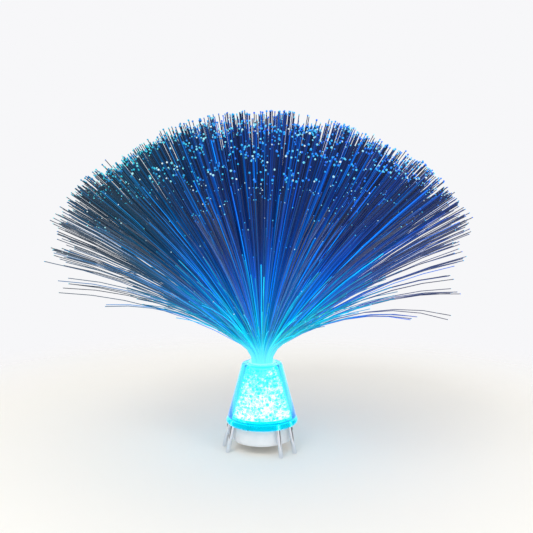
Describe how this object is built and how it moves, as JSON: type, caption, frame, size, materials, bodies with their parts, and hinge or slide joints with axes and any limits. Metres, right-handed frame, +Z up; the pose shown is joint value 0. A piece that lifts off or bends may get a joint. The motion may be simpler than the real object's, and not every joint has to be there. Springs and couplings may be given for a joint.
{
  "type": "fiber optic lamp",
  "caption": "Battery table lamp: a bouquet of light-carrying fibres plugged into a clear acrylic cone of crystal chips on slim chrome legs.",
  "frame": {"origin": "on the floor, under the lamp's vertical axis", "axes": "+Z up along the body and the bouquet's axis; -Y is the front, the side the picture shows; +X is the picture's right"},
  "size_m": [0.3864, 0.3824, 0.334],
  "materials": {
    "clear_acrylic": "clear moulded acrylic, polished, lit cyan from inside",
    "chips": "clear acrylic chips, polished facets",
    "leg_chrome": "polished",
    "steel": "plated screws",
    "board": "white solder mask",
    "led": "clear epoxy",
    "reflector": "white, glossy",
    "component": "black, matte",
    "housing": "pale grey-white, satin",
    "cell": "plain printed sleeve",
    "contact": "nickel plated",
    "switch": "black, matte",
    "lead_red": "PVC sleeve",
    "lead_black": "PVC sleeve",
    "ferrule": "clear sleeve",
    "slug": "potted and polished fibre ends",
    "fibre": "clear fibre carrying blue light"
  },
  "bodies": {
    "base": {"base_disc": "clear_acrylic", "outer_shell": "clear_acrylic", "top_collar": "clear_acrylic", "light_tube": "clear_acrylic", "crystal_chips": "chips", "led_board": "board", "leds": "led", "reflector_cup": "reflector", "series_resistors": "component", "led_board_screws": "steel", "battery_housing": "housing", "housing_screws": "steel", "battery_cell_1": "cell", "battery_cell_2": "cell", "battery_cell_3": "cell", "contact_plates": "contact", "contact_springs": "contact", "switch_body": "switch", "lead_positive": "lead_red", "lead_switched": "lead_red", "lead_negative": "lead_black", "leg_rod_1": "leg_chrome", "leg_rod_2": "leg_chrome", "leg_rod_3": "leg_chrome", "leg_rod_4": "leg_chrome", "leg_rod_5": "leg_chrome", "leg_rod_6": "leg_chrome"},
    "bouquet": {"fibre_ferrule": "ferrule", "bundle_slug": "slug", "fibres_core": "fibre", "fibres_inner": "fibre", "fibres_middle": "fibre", "fibres_outer": "fibre"},
    "lid": {"battery_lid": "housing", "lid_screws": "steel"},
    "knob": {"switch_knob": "switch"}
  },
  "joints": [
    {"name": "bouquet_pull_out", "type": "slide", "parent": "base", "child": "bouquet", "axis": [0, 0, 1], "range_m": [0, 0.026]},
    {"name": "lid_lift_off", "type": "slide", "parent": "base", "child": "lid", "axis": [0, 0, -1], "range_m": [0, 0.0085]},
    {"name": "switch_slide", "type": "slide", "parent": "base", "child": "knob", "axis": [-0.2292, 0.9734, 0], "range_m": [0, 0.003]}
  ]
}
